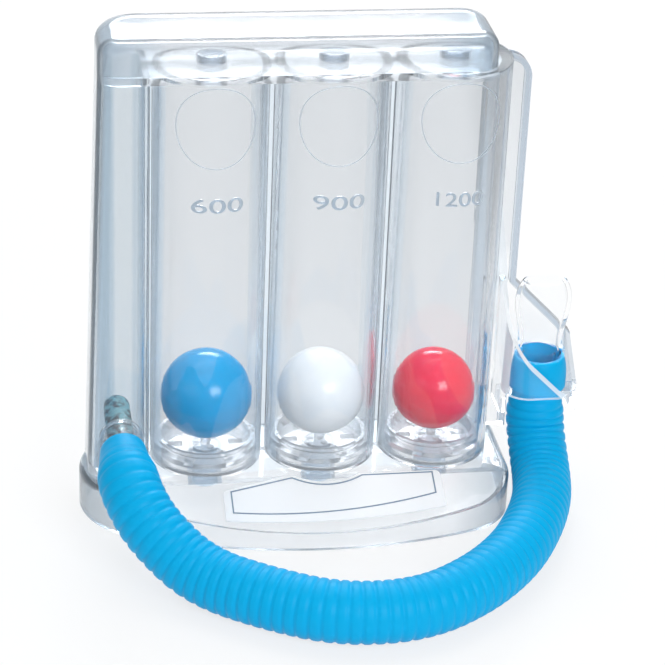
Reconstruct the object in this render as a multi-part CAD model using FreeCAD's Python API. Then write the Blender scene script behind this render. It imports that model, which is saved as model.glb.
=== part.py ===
import FreeCAD
import Part
import math
import os

# Three-ball incentive spirometer: clear chambers on a D-shaped foot, with a side duct, a cap
# manifold, a corrugated hose and a holder for the hose end. Millimetres, +Z up, front is -Y.
# Every piece is drawn about the axis of the middle chamber and then moved so that the box of the
# rigid object is centred on the origin, with its foot on Z = 0.

V = FreeCAD.Vector

# Balls and chambers
BALL_RADIUS_600 = 13.4
BALL_RADIUS_900 = 12.9
BALL_RADIUS_1200 = 12.3
BALL_WALL = 0.9
BALL_REST_GAP = 0.3
BORE_GAP_AT_FOOT = 1.8
BORE_GAP_AT_ROOF = 0.7
CHAMBER_WALL = 1.2
CHAMBER_HEIGHT = 122.0
WEB_WIDTH = 1.2
WEB_THICKNESS = 3.0

# Foot
BASE_HEIGHT = 13.5
BASE_WALL = 1.8
BASE_LEFT = 71.5
BASE_RIGHT = 55.2
BASE_BACK = 17.5
BASE_NOSE = 20.4
BASE_FRONT_ARC = 143.0
BASE_FRONT_EDGE = 6.0
BASE_LEFT_CORNER = 23.0
BASE_RIGHT_CORNER = 18.0
BASE_BACK_LEFT_CORNER = 21.0
BASE_BACK_RIGHT_CORNER = 10.0
BASE_TOP_ROUND = 3.0
SLOPE_START = 1.0
NOTCH_WIDTH = 16.0
NOTCH_HEIGHT = 6.0

# Ball seats
SEAT_RADIAL_GAP = 0.1
SEAT_RING_WIDTH = 2.4
SEAT_RING_HEIGHT = 6.8
SEAT_STEP = 0.9
SEAT_FLOOR_RISE = 1.5
SEAT_FLOOR = 1.6
NUB_HEIGHT = 3.0
NUB_RADIUS = 1.5
INLET_TUBE_RADIUS = 5.1
INLET_TUBE_WALL = 1.3
INLET_TUBE_LIFT = 1.5
SLOT_COUNT = 6
SLOT_WIDTH = 2.6
SLOT_LENGTH = 4.4
SEAT_HOLE_GAP = 0.6
BLEED_COUNT = 3
BLEED_INSET = 0.15

# Roof and cap
ROOF_THICKNESS = 1.8
OUTLET_RADIUS = 3.0
COLLAR_WALL = 1.2
COLLAR_HEIGHT = 2.0
CAP_HEIGHT = 10.2
CAP_WALL = 1.6
CAP_FRONT = 14.0
CAP_BACK = 13.6
CAP_RIGHT_OVERHANG = 10.5
CAP_LEFT_OVERHANG = 0.0
CAP_FRONT_CORNER = 6.0
CAP_LEFT_BACK_CORNER = 12.0
CAP_RIGHT_BACK_CORNER = 8.0
CAP_TOP_ROUND = 4.8

# Side duct
DUCT_WIDTH = 14.3
DUCT_SPREAD = 3.5
DUCT_WALL = 1.9
DUCT_DEPTH = 26.0
DUCT_FLOOR = 1.9
DUCT_FRONT_LEFT_CORNER = 5.0
DUCT_FRONT_RIGHT_CORNER = 3.2
DUCT_BACK_LEFT_CORNER = 10.5
DUCT_BACK_RIGHT_CORNER = 3.0

# Port
PORT_RISE = 13.0
PORT_INSET = 8.3
PORT_BORE = 4.0
PORT_RADIUS = 5.2
PORT_FLANGE_RADIUS = 6.3
PORT_FLANGE = 1.2
PORT_BARE = 7.3
PORT_TIP = 1.0
PORT_HOLE_GAP = 0.05

# Hose
HOSE_RADIUS = 8.7
HOSE_WALL = 1.5
PORT_CUFF_RADIUS = 6.7
PORT_CUFF_LENGTH = 4.0
CUFF_FIT = 0.05
HOSE_FIRST_RUN = 8.5
HOLDER_CUFF_RADIUS = 8.1
HOLDER_CUFF_LENGTH = 10.0
HOLDER_CUFF_SHOULDER = 2.0
HOSE_END_HEIGHT = 33.0

# Mouthpiece
SPIGOT_RADIUS = 6.2
SPIGOT_LENGTH = 9.0
SPIGOT_FIT = 0.06
MOUTH_WALL = 1.4
MOUTH_COLLAR_RADIUS = 7.6
MOUTH_COLLAR = 1.4
NECK_WIDTH = 6.9
NECK_DEPTH = 5.6
NECK_RISE = 8.0
LIP_WIDTH = 8.4
LIP_DEPTH = 5.4
LIP_RISE = 17.5
TIP_WIDTH = 6.6
TIP_DEPTH = 4.0
TIP_RISE = 24.0

# Rail and hose holder
RAIL_FRONT = 8.0
RAIL_THICKNESS = 2.3
RAIL_WIDTH = 8.0
RAIL_TOP_DROP = 1.2
RAIL_TOP_CORNER = 7.0
RIM_WIDTH = 1.7
RIM_PROUD = 0.7
HOLDER_WALL = 1.6
HOLDER_INSIDE = 19.7
HOLDER_DEPTH = 19.0
HOLDER_LEFT_GAP = 3.1
HOLDER_CORNER = 7.5
HOLDER_BOTTOM = 24.5
HOLDER_BACK_HIGH = 62.7
HOLDER_SLANT = 1.0
HOLDER_FALL = 0.87
HOLDER_MOUTH_HEIGHT = 33.0
HOLDER_MOUTH_BACK = 4.0

# Label
LABEL_THICKNESS = 0.25
LABEL_LEFT = 31.0
LABEL_RIGHT = 33.5
LABEL_TOP_GAP = 0.2
LABEL_BOTTOM_GAP = 3.7
LABEL_NOTCH_GAP = 3.5
LABEL_CORNER = 1.5
LABEL_CUT_WIDTH = 18.0
LABEL_CUT_DEPTH = 4.0
LABEL_ARC = 230.0
LABEL_ARC_X = -5.0

# Sizes that follow
CHAMBER_RADIUS = BALL_RADIUS_600 + BORE_GAP_AT_FOOT + CHAMBER_WALL
PITCH = 2 * CHAMBER_RADIUS + WEB_WIDTH
NAMES = ("600", "900", "1200")
BALL_RADII = (BALL_RADIUS_600, BALL_RADIUS_900, BALL_RADIUS_1200)
AXES = (-PITCH, 0.0, PITCH)
BASE_FRONT = CHAMBER_RADIUS + BASE_NOSE
SLOPE_TOP_Y = -(CHAMBER_RADIUS + SLOPE_START)
SLOPE = (BASE_HEIGHT - BASE_FRONT_EDGE) / (BASE_FRONT + SLOPE_TOP_Y)
ROOF_UNDERSIDE = BASE_HEIGHT + CHAMBER_HEIGHT
ROOF_TOP = ROOF_UNDERSIDE + ROOF_THICKNESS
DUCT_RIGHT = -1.5 * PITCH - WEB_WIDTH / 2
DUCT_LEFT = DUCT_RIGHT - DUCT_WIDTH
DUCT_FRONT = -DUCT_DEPTH / 2
DUCT_BACK = DUCT_DEPTH / 2
PORT_X = DUCT_RIGHT - PORT_INSET
PORT_Z = BASE_HEIGHT + PORT_RISE
RAIL_RIGHT = PITCH + CHAMBER_RADIUS + RAIL_WIDTH
RAIL_LEFT = PITCH + CHAMBER_RADIUS / 2
RAIL_BACK = RAIL_FRONT + RAIL_THICKNESS
HOLDER_LEFT = PITCH + CHAMBER_RADIUS + HOLDER_LEFT_GAP
HOLDER_RIGHT = HOLDER_LEFT + HOLDER_INSIDE + 2 * HOLDER_WALL
HOLDER_FRONT = RAIL_FRONT - HOLDER_DEPTH - HOLDER_WALL
HOSE_END_X = (HOLDER_LEFT + HOLDER_RIGHT) / 2
HOSE_END_Y = RAIL_FRONT - HOLDER_DEPTH / 2
CUFF_START = DUCT_FRONT - PORT_FLANGE - PORT_BARE
HOSE_START_Y = CUFF_START - PORT_CUFF_LENGTH
NIPPLE_TIP = HOSE_START_Y - PORT_TIP
SHIFT = V((BASE_LEFT - HOLDER_RIGHT) / 2, (BASE_FRONT - BASE_BACK) / 2, 0)

os.makedirs("parts", exist_ok=True)


def export(shape, node):
    """Move a piece to the object's frame and write it."""
    placed = shape.removeSplitter()
    placed.translate(SHIFT)
    placed.exportStep("parts/" + node + ".step")
    print(node, len(placed.Solids), "solid", round(placed.Volume, 1), "mm3", placed.isValid())


def box(x0, x1, y0, y1, z0, z1):
    return Part.makeBox(x1 - x0, y1 - y0, z1 - z0, V(x0, y0, z0))


def cylinder(radius, x, y, z0, z1):
    return Part.makeCylinder(radius, z1 - z0, V(x, y, z0))


def rounded_wire(corners):
    """Closed outline through (point, radius) corners, each rounded by a tangent arc."""
    edges = []
    ends = []
    count = len(corners)
    for index, (point, radius) in enumerate(corners):
        before = (corners[index - 1][0] - point).normalize()
        after = (corners[(index + 1) % count][0] - point).normalize()
        half_turn = before.getAngle(after) / 2
        if radius <= 0:
            ends.append((point, point))
            continue
        back_off = radius / math.tan(half_turn)
        start = point + before * back_off
        stop = point + after * back_off
        middle_way = (before + after).normalize()
        middle = point + middle_way * (radius / math.sin(half_turn) - radius)
        edges.append(Part.Arc(start, middle, stop).toShape())
        ends.append((start, stop))
    for index in range(count):
        leave = ends[index][1]
        arrive = ends[(index + 1) % count][0]
        if leave.distanceToPoint(arrive) > 1e-6:
            edges.append(Part.LineSegment(leave, arrive).toShape())
    return Part.Wire(Part.__sortEdges__(edges))


def plan_wire(corners, z):
    return rounded_wire([(V(x, y, z), radius) for x, y, radius in corners])


def plan_prism(corners, z0, z1):
    return Part.Face(plan_wire(corners, z0)).extrude(V(0, 0, z1 - z0))


def front_prism(corners, y0, y1):
    """A prism along Y from corners given as (x, z, radius)."""
    wire = rounded_wire([(V(x, y0, z), radius) for x, z, radius in corners])
    return Part.Face(wire).extrude(V(0, y1 - y0, 0))


def top_edges(shape, z):
    return [edge for edge in shape.Edges if all(abs(v.Z - z) < 1e-4 for v in edge.Vertexes)]


def revolved(profile):
    """Turn a closed (radius, height) profile about Z."""
    points = [V(radius, 0, height) for radius, height in profile]
    face = Part.Face(Part.makePolygon(points + points[:1]))
    return face.revolve(V(0, 0, 0), V(0, 0, 1), 360)


# Chambers: drafted bores, joined by narrow webs that meet half way between the axes.

def chamber(index):
    x = AXES[index]
    ball = BALL_RADII[index]
    tube = cylinder(CHAMBER_RADIUS, x, 0, BASE_HEIGHT, ROOF_UNDERSIDE)
    reach = PITCH / 2
    right_reach = reach if index < 2 else 0
    web = box(x - reach, x + right_reach, -WEB_THICKNESS / 2, WEB_THICKNESS / 2,
              BASE_HEIGHT, ROOF_UNDERSIDE)
    bore = Part.makeCone(ball + BORE_GAP_AT_FOOT, ball + BORE_GAP_AT_ROOF, CHAMBER_HEIGHT,
                         V(x, 0, BASE_HEIGHT))
    return tube.fuse(web).cut(bore)


for index, name in enumerate(NAMES):
    export(chamber(index), "chamber_" + name)


# Ball seats: a stepped ring in the chamber's foot, a slotted floor, a nub and an inlet tube.

def ball_seat(index):
    outer = BALL_RADII[index] + BORE_GAP_AT_FOOT - SEAT_RADIAL_GAP
    draft = (BORE_GAP_AT_FOOT - BORE_GAP_AT_ROOF) * SEAT_RING_HEIGHT / CHAMBER_HEIGHT
    inner = outer - SEAT_RING_WIDTH
    foot = BASE_HEIGHT
    floor = foot + SEAT_FLOOR_RISE
    ring_top = foot + SEAT_RING_HEIGHT
    tube_inner = INLET_TUBE_RADIUS - INLET_TUBE_WALL
    nub_top = floor + SEAT_FLOOR + NUB_HEIGHT
    seat = revolved([
        (0, floor),
        (tube_inner, floor),
        (tube_inner, INLET_TUBE_LIFT),
        (INLET_TUBE_RADIUS, INLET_TUBE_LIFT),
        (INLET_TUBE_RADIUS, floor),
        (inner, floor),
        (inner, foot),
        (outer, foot),
        (outer - draft, ring_top - SEAT_STEP),
        (outer - draft - SEAT_STEP, ring_top - SEAT_STEP),
        (outer - draft - SEAT_STEP, ring_top),
        (inner + SEAT_STEP / 2, ring_top),
        (inner, floor + SEAT_FLOOR + SEAT_STEP),
        (inner, floor + SEAT_FLOOR),
        (NUB_RADIUS, floor + SEAT_FLOOR),
        (NUB_RADIUS * 0.8, nub_top),
        (0, nub_top),
    ])
    slot_middle = (INLET_TUBE_RADIUS + inner) / 2
    for turn in range(SLOT_COUNT):
        slot = box(slot_middle - SLOT_LENGTH / 2, slot_middle + SLOT_LENGTH / 2,
                   -SLOT_WIDTH / 2, SLOT_WIDTH / 2, floor - 1, floor + SEAT_FLOOR + 1)
        slot.rotate(V(0, 0, 0), V(0, 0, 1), turn * 360 / SLOT_COUNT)
        seat = seat.cut(slot)
    for turn in range(BLEED_COUNT):
        bleed = cylinder((tube_inner - NUB_RADIUS) / 2 - BLEED_INSET, (tube_inner + NUB_RADIUS) / 2, 0,
                         floor - 1, floor + SEAT_FLOOR + 1)
        bleed.rotate(V(0, 0, 0), V(0, 0, 1), (turn + 0.5) * 360 / BLEED_COUNT)
        seat = seat.cut(bleed)
    seat.translate(V(AXES[index], 0, 0))
    return seat


for index, name in enumerate(NAMES):
    export(ball_seat(index), "ball_seat_" + name)

NUB_TOP = BASE_HEIGHT + SEAT_FLOOR_RISE + SEAT_FLOOR + NUB_HEIGHT


# Balls: thin hollow shells that rest on the nubs.

def ball(index):
    radius = BALL_RADII[index]
    centre = V(AXES[index], 0, NUB_TOP + BALL_REST_GAP + radius)
    return Part.makeSphere(radius, centre).cut(Part.makeSphere(radius - BALL_WALL, centre))


for index, name in enumerate(NAMES):
    export(ball(index), "ball_" + name)


# Roof plate: the cap's outline joined to the chambers' circles, with collared outlets.

CAP_LEFT = DUCT_LEFT - CAP_LEFT_OVERHANG
CAP_RIGHT = PITCH + CAP_RIGHT_OVERHANG


def cap_outline(inset):
    return [
        (CAP_LEFT + inset, -CAP_FRONT + inset, CAP_FRONT_CORNER - inset),
        (CAP_RIGHT - inset, -CAP_FRONT + inset, CAP_FRONT_CORNER - inset),
        (CAP_RIGHT - inset, CAP_BACK - inset, CAP_RIGHT_BACK_CORNER - inset),
        (CAP_LEFT + inset, CAP_BACK - inset, CAP_LEFT_BACK_CORNER - inset),
    ]


def duct_outline(left, inset):
    return [
        (left + inset, DUCT_FRONT + inset, DUCT_FRONT_LEFT_CORNER - inset),
        (DUCT_RIGHT - inset, DUCT_FRONT + inset, DUCT_FRONT_RIGHT_CORNER - inset),
        (DUCT_RIGHT - inset, DUCT_BACK - inset, DUCT_BACK_RIGHT_CORNER - inset),
        (left + inset, DUCT_BACK - inset, DUCT_BACK_LEFT_CORNER - inset),
    ]


roof = plan_prism(cap_outline(0), ROOF_UNDERSIDE, ROOF_TOP)
for x in AXES:
    roof = roof.fuse(cylinder(CHAMBER_RADIUS, x, 0, ROOF_UNDERSIDE, ROOF_TOP))
    roof = roof.fuse(cylinder(OUTLET_RADIUS + COLLAR_WALL, x, 0, ROOF_UNDERSIDE,
                              ROOF_TOP + COLLAR_HEIGHT))
for x in AXES:
    roof = roof.cut(cylinder(OUTLET_RADIUS, x, 0, ROOF_UNDERSIDE - 1, ROOF_TOP + COLLAR_HEIGHT + 1))
roof = roof.cut(plan_prism(duct_outline(DUCT_LEFT, DUCT_WALL), ROOF_UNDERSIDE - 1, ROOF_TOP + 1))
export(roof, "outlet_plate")

cap = plan_prism(cap_outline(0), ROOF_TOP, ROOF_TOP + CAP_HEIGHT)
cap = cap.makeFillet(CAP_TOP_ROUND, top_edges(cap, ROOF_TOP + CAP_HEIGHT))
cap_inside = ROOF_TOP + CAP_HEIGHT - CAP_WALL
cap_hollow = plan_prism(cap_outline(CAP_WALL), ROOF_TOP - 1, cap_inside)
cap_hollow = cap_hollow.makeFillet(CAP_TOP_ROUND - CAP_WALL, top_edges(cap_hollow, cap_inside))
export(cap.cut(cap_hollow), "top_cap")


# Side duct: a channel that spreads to the left towards the foot, open at the top, bored for the port.

def duct_body(inset, z0):
    spread_left = DUCT_LEFT - DUCT_SPREAD * (ROOF_UNDERSIDE - z0) / CHAMBER_HEIGHT
    return Part.makeLoft([plan_wire(duct_outline(spread_left, inset), z0),
                          plan_wire(duct_outline(DUCT_LEFT, inset), ROOF_UNDERSIDE)], True, True)


def along_y(radius, y0, y1):
    """A round bar on the port's axis."""
    return Part.makeCylinder(radius, y1 - y0, V(PORT_X, y0, PORT_Z), V(0, 1, 0))


duct = duct_body(0, BASE_HEIGHT).cut(duct_body(DUCT_WALL, BASE_HEIGHT + DUCT_FLOOR))
duct = duct.cut(along_y(PORT_RADIUS + PORT_HOLE_GAP, DUCT_FRONT - 1, DUCT_FRONT + DUCT_WALL + 1))
duct_web = box(DUCT_RIGHT - DUCT_WALL / 2, -1.5 * PITCH, -WEB_THICKNESS / 2, WEB_THICKNESS / 2,
               BASE_HEIGHT, ROOF_UNDERSIDE)
export(duct.fuse(duct_web), "air_duct")

port = along_y(PORT_RADIUS, NIPPLE_TIP, DUCT_FRONT + DUCT_WALL)
port = port.fuse(along_y(PORT_FLANGE_RADIUS, DUCT_FRONT - PORT_FLANGE, DUCT_FRONT))
port = port.cut(along_y(PORT_BORE, NIPPLE_TIP - 1, DUCT_FRONT + DUCT_WALL + 1))
export(port, "hose_port")


# Foot: a hollow D with a sloping front, seat holes in its top and air notches in its back.

def front_corner(block, x):
    """The foremost upright edge of the foot on the side wall at x."""
    found = []
    for edge in block.Edges:
        ends = edge.Vertexes
        if len(ends) == 2 and abs(ends[0].X - x) < 1e-3 and abs(ends[1].X - x) < 1e-3:
            if abs(ends[0].Y - ends[1].Y) < 1e-3:
                found.append(edge)
    return [min(found, key=lambda edge: edge.Vertexes[0].Y)]


def base_block(inset, top):
    front_centre = -BASE_FRONT + BASE_FRONT_ARC
    block = plan_prism([
        (-BASE_LEFT + inset, -BASE_FRONT, 0),
        (BASE_RIGHT - inset, -BASE_FRONT, 0),
        (BASE_RIGHT - inset, BASE_BACK - inset, BASE_BACK_RIGHT_CORNER - inset),
        (-BASE_LEFT + inset, BASE_BACK - inset, BASE_BACK_LEFT_CORNER - inset),
    ], 0, top)
    block = block.common(cylinder(BASE_FRONT_ARC - inset, 0, front_centre, 0, top))
    left = front_corner(block, -BASE_LEFT + inset)
    block = block.makeFillet(BASE_LEFT_CORNER - inset, left)
    right = front_corner(block, BASE_RIGHT - inset)
    return block.makeFillet(BASE_RIGHT_CORNER - inset, right)


def slope_cutter(drop):
    """Everything above the sloping front, the slope lowered by drop."""
    reach = 2 * BASE_FRONT
    start = V(-2 * BASE_LEFT, SLOPE_TOP_Y, BASE_HEIGHT - drop)
    corners = [
        start,
        start + V(0, -reach, -reach * SLOPE),
        start + V(0, -reach, 2 * BASE_HEIGHT),
        start + V(0, 0, 2 * BASE_HEIGHT),
    ]
    face = Part.Face(Part.makePolygon(corners + corners[:1]))
    return face.extrude(V(4 * BASE_LEFT, 0, 0))


foot = base_block(0, BASE_HEIGHT)
foot = foot.makeFillet(BASE_TOP_ROUND, top_edges(foot, BASE_HEIGHT))
foot = foot.cut(slope_cutter(0))
hollow = base_block(BASE_WALL, BASE_HEIGHT - BASE_WALL)
slope_wall = BASE_WALL * math.sqrt(1 + SLOPE ** 2)
hollow = hollow.cut(slope_cutter(slope_wall))
foot = foot.cut(hollow)
for index, x in enumerate(AXES):
    seat_inner = BALL_RADII[index] + BORE_GAP_AT_FOOT - SEAT_RADIAL_GAP - SEAT_RING_WIDTH
    foot = foot.cut(cylinder(seat_inner - SEAT_HOLE_GAP, x, 0, 0, BASE_HEIGHT + 1))
    foot = foot.cut(box(x - NOTCH_WIDTH / 2, x + NOTCH_WIDTH / 2, BASE_BACK - 2 * BASE_WALL,
                        BASE_BACK + 1, -1, NOTCH_HEIGHT))
export(foot, "base_foot")


# Label: a blank sticker on the slope, notched round the middle chamber, with one top corner cut off.

def label_plate():
    top_y = SLOPE_TOP_Y - LABEL_TOP_GAP
    low_y = -BASE_FRONT + LABEL_BOTTOM_GAP
    outline = plan_prism([
        (-LABEL_LEFT, low_y - LABEL_CORNER, 0),
        (LABEL_RIGHT, low_y - LABEL_CORNER, 0),
        (LABEL_RIGHT, top_y, LABEL_CORNER),
        (LABEL_CUT_WIDTH - LABEL_LEFT, top_y, LABEL_CORNER),
        (-LABEL_LEFT, top_y - LABEL_CUT_DEPTH, LABEL_CORNER),
    ], 0, 2 * BASE_HEIGHT)
    outline = outline.cut(cylinder(CHAMBER_RADIUS + LABEL_NOTCH_GAP, 0, 0, 0, 2 * BASE_HEIGHT))
    outline = outline.common(cylinder(LABEL_ARC, LABEL_ARC_X, low_y + LABEL_ARC, 0, 2 * BASE_HEIGHT))
    below = slope_cutter(-LABEL_THICKNESS * math.sqrt(1 + SLOPE ** 2))
    return outline.common(slope_cutter(0)).cut(below)


export(label_plate(), "front_label")


# Rail and hose holder: a rimmed flat flange that widens into the back wall of a slanted pocket.

def rail_outline(inset):
    slant_low = HOLDER_BACK_HIGH - HOLDER_SLANT * (HOLDER_RIGHT - RAIL_RIGHT)
    slant_shift = inset * (math.sqrt(1 + HOLDER_SLANT ** 2) - HOLDER_SLANT)
    top = ROOF_UNDERSIDE - RAIL_TOP_DROP - inset
    return [
        (RAIL_LEFT, BASE_HEIGHT, 0),
        (RAIL_RIGHT - inset, BASE_HEIGHT, 0),
        (RAIL_RIGHT - inset, HOLDER_BOTTOM + inset, 0),
        (HOLDER_RIGHT - inset, HOLDER_BOTTOM + inset, 0),
        (HOLDER_RIGHT - inset, slant_low - slant_shift, 0),
        (RAIL_RIGHT - inset, HOLDER_BACK_HIGH - slant_shift, 0),
        (RAIL_RIGHT - inset, top, RAIL_TOP_CORNER - inset),
        (RAIL_LEFT, top, 0),
    ]


def holder_plan(inset):
    return [
        (HOLDER_LEFT + inset, HOLDER_FRONT + inset, HOLDER_CORNER - inset),
        (HOLDER_RIGHT - inset, HOLDER_FRONT + inset, HOLDER_CORNER - inset),
        (HOLDER_RIGHT - inset, RAIL_FRONT, 0),
        (HOLDER_LEFT + inset, RAIL_FRONT, 0),
    ]


def slanted_cutter():
    """Everything above the plane that falls to the right and to the front."""
    reach = 200.0

    def on_plane(x, y):
        z = HOLDER_BACK_HIGH - HOLDER_SLANT * (x - RAIL_RIGHT) + HOLDER_FALL * (y - RAIL_FRONT)
        return V(x, y, z)

    corners = [
        on_plane(RAIL_RIGHT - reach, -reach),
        on_plane(RAIL_RIGHT + reach, -reach),
        on_plane(RAIL_RIGHT + reach, reach),
        on_plane(RAIL_RIGHT - reach, reach),
    ]
    return Part.Face(Part.makePolygon(corners + corners[:1])).extrude(V(0, 0, 4 * reach))


rail = front_prism(rail_outline(0), RAIL_FRONT, RAIL_BACK)
rim = front_prism(rail_outline(0), RAIL_FRONT - RIM_PROUD, RAIL_BACK + RIM_PROUD)
rim = rim.cut(front_prism(rail_outline(RIM_WIDTH), RAIL_FRONT - RIM_PROUD - 1, RAIL_BACK + RIM_PROUD + 1))
rim = rim.cut(box(RAIL_LEFT - 1, RAIL_RIGHT - RIM_WIDTH, RAIL_FRONT - 2, RAIL_BACK + 2,
                  0, HOLDER_BOTTOM + RIM_WIDTH + 1))
rail = rail.fuse(rim)
pocket = plan_prism(holder_plan(0), HOLDER_BOTTOM, HOLDER_BACK_HIGH + HOLDER_WALL)
pocket = pocket.cut(plan_prism(holder_plan(HOLDER_WALL), HOLDER_BOTTOM - 1, HOLDER_BACK_HIGH + 2 * HOLDER_WALL))
pocket = pocket.cut(slanted_cutter())
pocket = pocket.cut(box(HOLDER_LEFT - 1, HOLDER_RIGHT + 1, HOLDER_FRONT - 1, HOLDER_MOUTH_BACK - RAIL_FRONT,
                        HOLDER_BOTTOM - 1, HOLDER_MOUTH_HEIGHT))
rail = rail.fuse(pocket)
rail = rail.cut(cylinder(CHAMBER_RADIUS, PITCH, 0, 0, ROOF_TOP))
export(rail, "side_rail")


# Hose: straight runs joined by tangent arcs. The points are the route's own, chosen by hand.

HOSE_ROUTE = [
    V(PORT_X, HOSE_START_Y, PORT_Z),
    V(PORT_X, HOSE_START_Y - HOSE_FIRST_RUN, PORT_Z),
    V(-58.1, -42.0, 22.9),
    V(-53.1, -49.7, 16.8),
    V(-41.5, -60.0, HOSE_RADIUS),
    V(-24.0, -73.0, HOSE_RADIUS),
    V(-5.0, -82.5, HOSE_RADIUS),
    V(17.0, -82.0, HOSE_RADIUS),
    V(34.5, -71.5, HOSE_RADIUS),
    V(48.0, -57.5, HOSE_RADIUS),
    V(56.7, -42.5, HOSE_RADIUS),
    V(62.5, -28.5, HOSE_RADIUS),
    V(65.2, -15.8, HOSE_RADIUS),
    V(65.5, -6.7, 13.8),
    V(HOSE_END_X, HOSE_END_Y, 22.7),
    V(HOSE_END_X, HOSE_END_Y, HOSE_END_HEIGHT),
]


def hose_path(points):
    edges = []
    leave = points[0]
    for index in range(1, len(points) - 1):
        corner = points[index]
        back = points[index - 1] - corner
        ahead = points[index + 1] - corner
        half_turn = (math.pi - back.getAngle(ahead)) / 2
        radius = 0.45 * min(back.Length, ahead.Length) / math.tan(half_turn)
        back_off = radius * math.tan(half_turn)
        start = corner + back.normalize() * back_off
        stop = corner + ahead.normalize() * back_off
        middle_way = (back + ahead).normalize()
        middle = corner + middle_way * (radius / math.cos(half_turn) - radius)
        edges.append(Part.LineSegment(leave, start).toShape())
        edges.append(Part.Arc(start, middle, stop).toShape())
        leave = stop
        print("hose bend", index, "radius", round(radius, 1))
    edges.append(Part.LineSegment(leave, points[-1]).toShape())
    return Part.Wire(edges)


def hose_tube(path, start, heading):
    rings = []
    for radius in (HOSE_RADIUS, HOSE_RADIUS - HOSE_WALL):
        circle = Part.Wire(Part.makeCircle(radius, start, heading))
        rings.append(path.makePipeShell([circle], True, False))
    return rings[0].cut(rings[1])


hose_line = hose_path(HOSE_ROUTE)
hose = hose_tube(hose_line, HOSE_ROUTE[0], V(0, -1, 0))
hose_section = math.pi * (HOSE_RADIUS ** 2 - (HOSE_RADIUS - HOSE_WALL) ** 2)
print("hose length", round(hose_line.Length, 1), "volume", round(hose.Volume, 1),
      "section times length", round(hose_section * hose_line.Length, 1))
export(hose, "corrugated_hose")

port_cuff = along_y(PORT_CUFF_RADIUS, HOSE_START_Y, CUFF_START)
port_cuff = port_cuff.cut(along_y(PORT_RADIUS + CUFF_FIT, HOSE_START_Y - 1, CUFF_START + 1))
export(port_cuff, "port_cuff")

cuff_top = HOSE_END_HEIGHT + HOLDER_CUFF_LENGTH
cuff_bore = SPIGOT_RADIUS + SPIGOT_FIT
holder_cuff = revolved([
    (cuff_bore, HOSE_END_HEIGHT),
    (HOLDER_CUFF_RADIUS, HOSE_END_HEIGHT),
    (HOLDER_CUFF_RADIUS, cuff_top - HOLDER_CUFF_SHOULDER),
    (cuff_bore + (HOLDER_CUFF_RADIUS - cuff_bore) / 2, cuff_top),
    (cuff_bore, cuff_top),
])
holder_cuff.translate(V(HOSE_END_X, HOSE_END_Y, 0))
export(holder_cuff, "holder_cuff")


# Mouthpiece: a round spigot and collar that run up into an oval bite end.

def oval(width, depth, z):
    ellipse = Part.Ellipse(V(0, 0, z), width, depth)
    return Part.Wire(ellipse.toShape())


def mouth_loft(inset):
    return Part.makeLoft([
        oval(NECK_WIDTH - inset, NECK_WIDTH - 0.01 - inset, cuff_top + MOUTH_COLLAR),
        oval(NECK_WIDTH - inset, NECK_DEPTH - inset, cuff_top + NECK_RISE),
        oval(LIP_WIDTH - inset, LIP_DEPTH - inset, cuff_top + LIP_RISE),
        oval(TIP_WIDTH - inset, TIP_DEPTH - inset, cuff_top + TIP_RISE),
    ], True)


spigot_bore = SPIGOT_RADIUS - MOUTH_WALL
mouthpiece = cylinder(SPIGOT_RADIUS, 0, 0, cuff_top - SPIGOT_LENGTH, cuff_top + MOUTH_COLLAR)
mouthpiece = mouthpiece.fuse(cylinder(MOUTH_COLLAR_RADIUS, 0, 0, cuff_top, cuff_top + MOUTH_COLLAR))
mouthpiece = mouthpiece.cut(cylinder(spigot_bore, 0, 0, cuff_top - SPIGOT_LENGTH - 1, cuff_top + MOUTH_COLLAR))
mouthpiece = mouthpiece.fuse(mouth_loft(0).cut(mouth_loft(MOUTH_WALL)))
mouthpiece.translate(V(HOSE_END_X, HOSE_END_Y, 0))
export(mouthpiece, "mouthpiece")

print("shift", SHIFT)
for name, radius in zip(NAMES, BALL_RADII):
    travel = ROOF_UNDERSIDE - BALL_REST_GAP - (NUB_TOP + BALL_REST_GAP + 2 * radius)
    print("ball", name, "travel", round(travel, 2))
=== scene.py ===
import math

import bmesh
import bpy
from mathutils import Matrix, Vector


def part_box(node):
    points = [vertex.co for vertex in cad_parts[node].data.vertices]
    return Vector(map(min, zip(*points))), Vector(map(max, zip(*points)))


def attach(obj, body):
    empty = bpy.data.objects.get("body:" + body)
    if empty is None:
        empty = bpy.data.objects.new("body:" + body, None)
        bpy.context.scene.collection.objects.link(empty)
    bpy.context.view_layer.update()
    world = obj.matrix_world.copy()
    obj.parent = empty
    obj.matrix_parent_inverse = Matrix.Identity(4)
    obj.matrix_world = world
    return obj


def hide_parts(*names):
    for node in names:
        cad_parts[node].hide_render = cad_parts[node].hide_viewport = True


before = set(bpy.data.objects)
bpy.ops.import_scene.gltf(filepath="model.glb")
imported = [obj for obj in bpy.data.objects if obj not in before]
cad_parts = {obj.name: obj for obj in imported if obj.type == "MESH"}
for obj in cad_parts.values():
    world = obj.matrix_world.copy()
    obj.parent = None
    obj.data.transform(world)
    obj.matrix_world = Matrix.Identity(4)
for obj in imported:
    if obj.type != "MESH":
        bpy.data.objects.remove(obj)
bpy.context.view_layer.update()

# The view: the photograph looks down at the trainer from a little to the left of its front,
# through a long lens. The camera is placed about the axis of the middle chamber.
chamber_low, chamber_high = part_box("chamber_900")
AXIS = Vector(((chamber_low.x + chamber_high.x) / 2, (chamber_low.y + chamber_high.y) / 2, 0))
VIEW_YAW = math.radians(9.706)
VIEW_PITCH = math.radians(27.62)
VIEW_ROLL = math.radians(2.457)
VIEW_DISTANCE = 0.712731
VIEW_HEIGHT = 0.075
VIEW_RIGHT = 0.001914
VIEW_UP = -0.020779
LENS = 134.2
SENSOR = 36.0


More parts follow.
